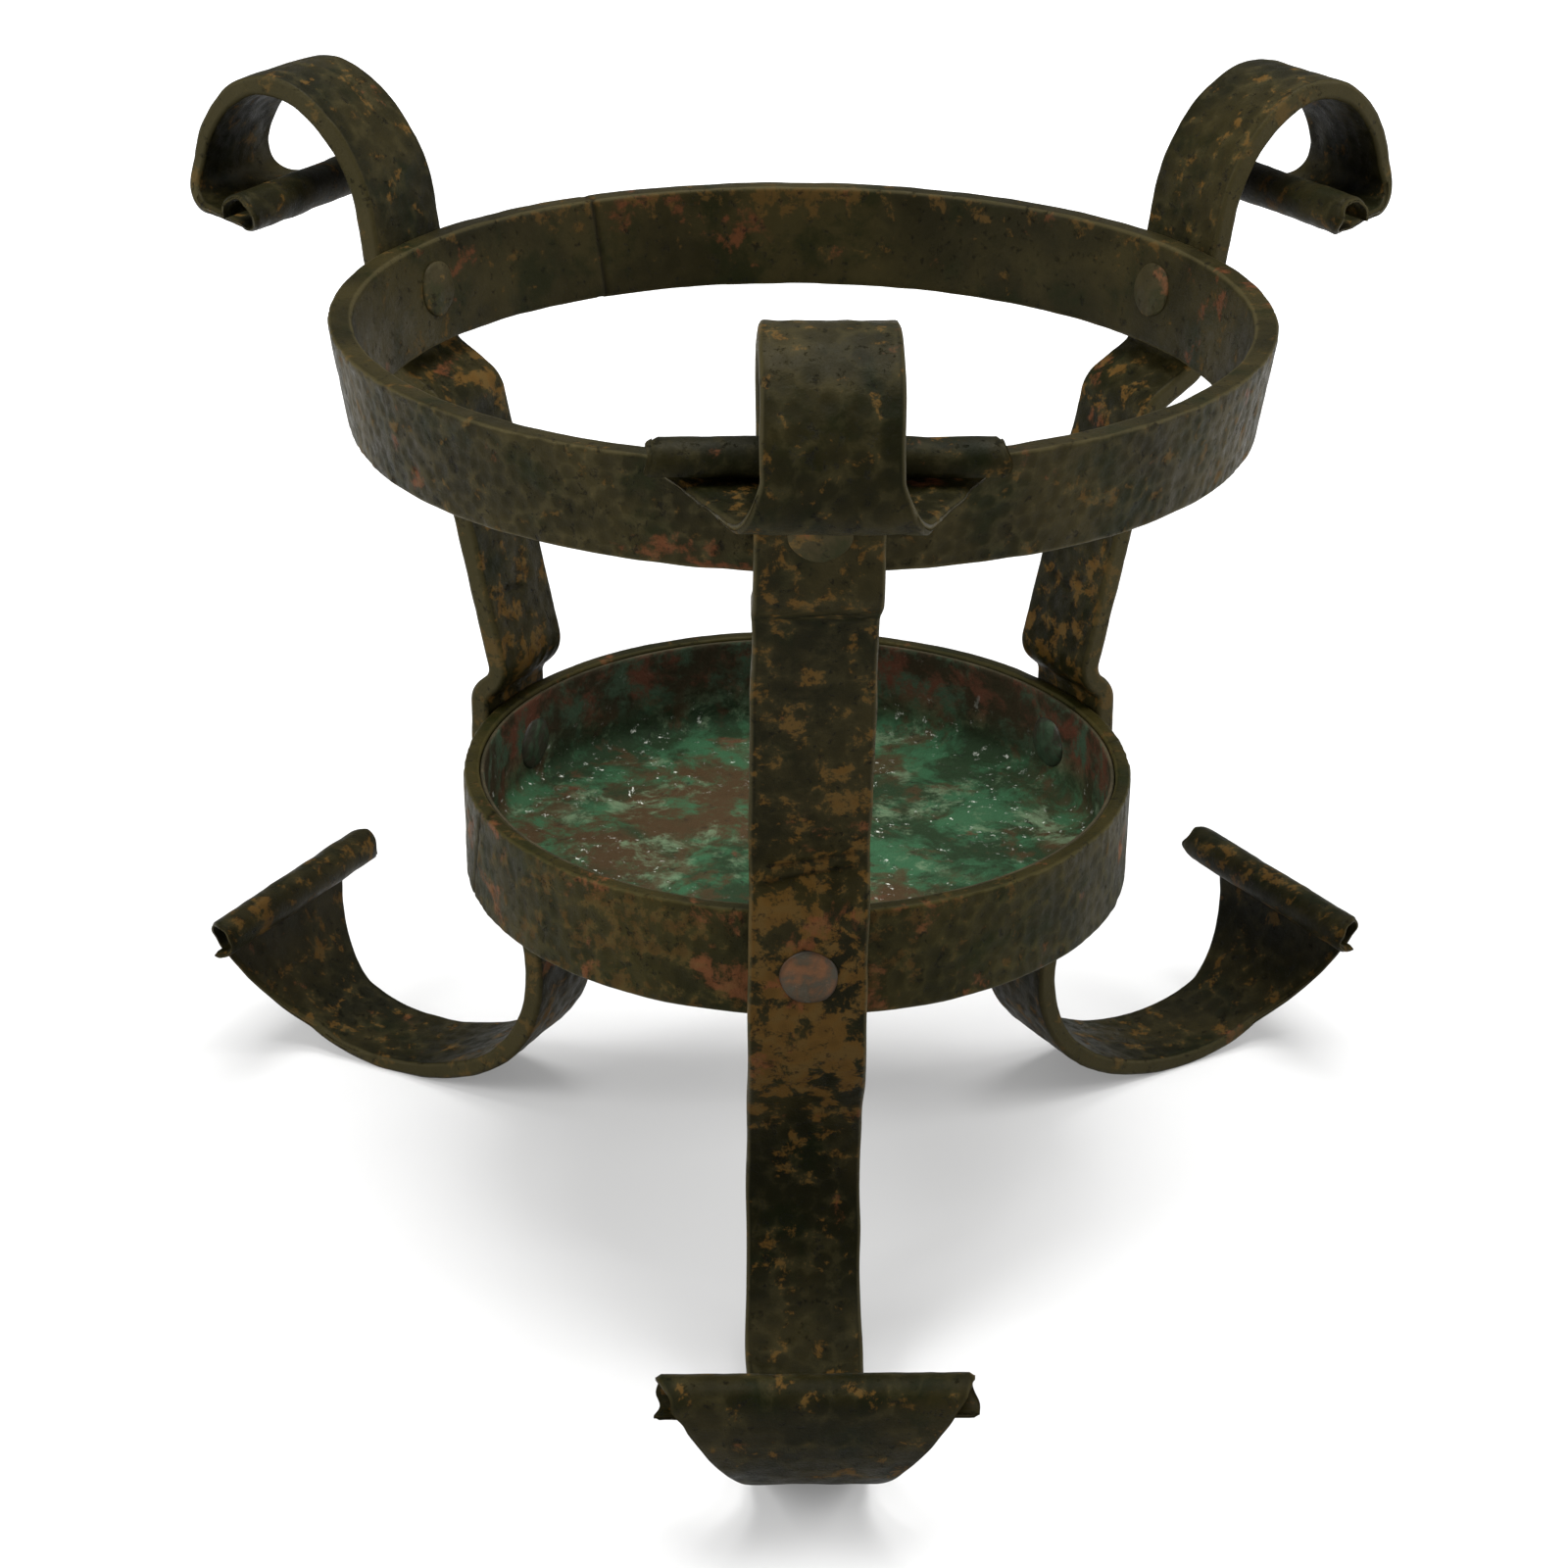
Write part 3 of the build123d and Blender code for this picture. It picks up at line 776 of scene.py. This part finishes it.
def copper_of_rivets():
    """Rubbed red copper with a dark ring of dirt round the head."""
    bench = Bench("rivet_copper")
    bench.metal.inputs["Specular IOR Level"].default_value = 0.4
    blotch = bench.noise(150, 7, 0.65, 0.8)
    scratches = bench.noise(700, 5, 0.7, 0.3)
    colour = bench.over((0.030, 0.022, 0.009), (0.105, 0.047, 0.020), bench.between(blotch, 0.40, 0.60))
    scratched = bench.both(bench.between(scratches, 0.55, 0.75), 0.5)
    colour = bench.over(colour, (0.170, 0.080, 0.036), scratched)
    greened = bench.over((0.022, 0.019, 0.010), (0.045, 0.075, 0.042), bench.between(blotch, 0.42, 0.60))
    colour = bench.over(colour, greened, bench.mark("inside"))
    colour = bench.over(colour, (0.010, 0.008, 0.004), bench.both(bench.mark("rim"), 0.85))
    relief = bench.both(bench.both(blotch, 0.6), bench.both(scratches, 0.4), "ADD")
    rough = bench.tree.nodes.new("ShaderNodeMapRange")
    bench.join(scratches, rough.inputs["Value"])
    rough.inputs["To Min"].default_value = 0.38
    rough.inputs["To Max"].default_value = 0.62
    metallic = bench.both(bench.between(blotch, 0.3, 0.6), 0.7)
    return bench.finish(colour, rough.outputs["Result"], relief, 0.0003, metallic)


def head_line(bed):
    """Half section of a head from its crown to its bed: (radius, height above the bed)."""
    crown = np.linspace(0.02, 5.7, 12)
    line = [(a, head_height - (dome - math.sqrt(dome**2 - a**2))) for a in crown]
    line += [(6.05, line[-1][1] - 0.12), (rivet_head, line[-1][1] - 0.35), (rivet_head, -bed)]
    return line


def set_rivet(name, centre, axis, grip, seed):
    """A two-headed rivet on its axis; centre is on the strap's inner face."""
    outer = [(a, b + strap_thickness - 0.1) for a, b in head_line(0.3)]
    inner = [(a, -b - grip + 0.05) for a, b in head_line(0.45)][::-1]
    line = np.array(outer + [(rivet_shank, strap_thickness - 0.5), (rivet_shank, -grip + 0.5)] + inner)
    turn = np.linspace(0, 2 * math.pi, 56, endpoint=False)[:, None]
    chance = np.random.default_rng(seed)
    lop = 1 + 0.02 * np.sin(turn * 2 + chance.random() * 6)
    lop = lop + 0.015 * np.sin(turn * 5 + chance.random() * 6) - 0.03
    radius, height = line[None, :, 0] * lop, line[None, :, 1]
    struck = 0.10 * slow_waves(radius * np.cos(turn), radius * np.sin(turn), seed, 8, 9, 3)
    height = height + struck * np.sign(height) * (radius < 6)
    out = Vector(axis).normalized()
    side = Vector((-out.y, out.x, 0)).normalized()
    up = out.cross(side)
    frame_axes = np.array([side, up, out])
    local = np.stack([radius * np.cos(turn), radius * np.sin(turn), height + 0 * turn], -1)
    points = local @ frame_axes + np.array(centre)
    rim = np.clip((radius - 5.2) / 1.1, 0, 1) + 0 * turn
    inside = np.where(height < 0, 1.0, 0.0) + 0 * turn
    return skin(name, points, False, True, {"rim": rim, "inside": inside})


rubbed_copper = copper_of_rivets()
darkened = aged_bronze(
    "rivet_patina", (5.0, 2.0, 1.0), (0.022, 0.018, 0.007), (0.048, 0.038, 0.017),
    (0.090, 0.055, 0.016), 0.58, (0.120, 0.048, 0.020), 0.56,
)
lean = math.radians(ring_lean)
for index, (place, degrees) in enumerate(leg_angles.items()):
    turn = math.radians(degrees)
    kinds = {
        "ring_rivet_": ((ring_top_radius + ring_bottom_radius) / 2, -ring_height / 2,
                        lean, ring_bar_thickness * math.cos(lean)),
        "pan_rivet_": (hoop_radius, (hoop_top_z + hoop_bottom_z) / 2, 0.0, hoop_bar_thickness + sheet),
    }
    for kind, (radius, height, dip, grip) in kinds.items():
        centre = (radius * math.cos(turn), radius * math.sin(turn), height)
        axis = (math.cos(dip) * math.cos(turn), math.cos(dip) * math.sin(turn), -math.sin(dip))
        rivet = set_rivet(kind + place + "_heads", centre, axis, grip, 300 + index + len(kind))
        rivet.data.materials.append(rubbed_copper if kind == "pan_rivet_" else darkened)
        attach(rivet, "root")
        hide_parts(kind + place)
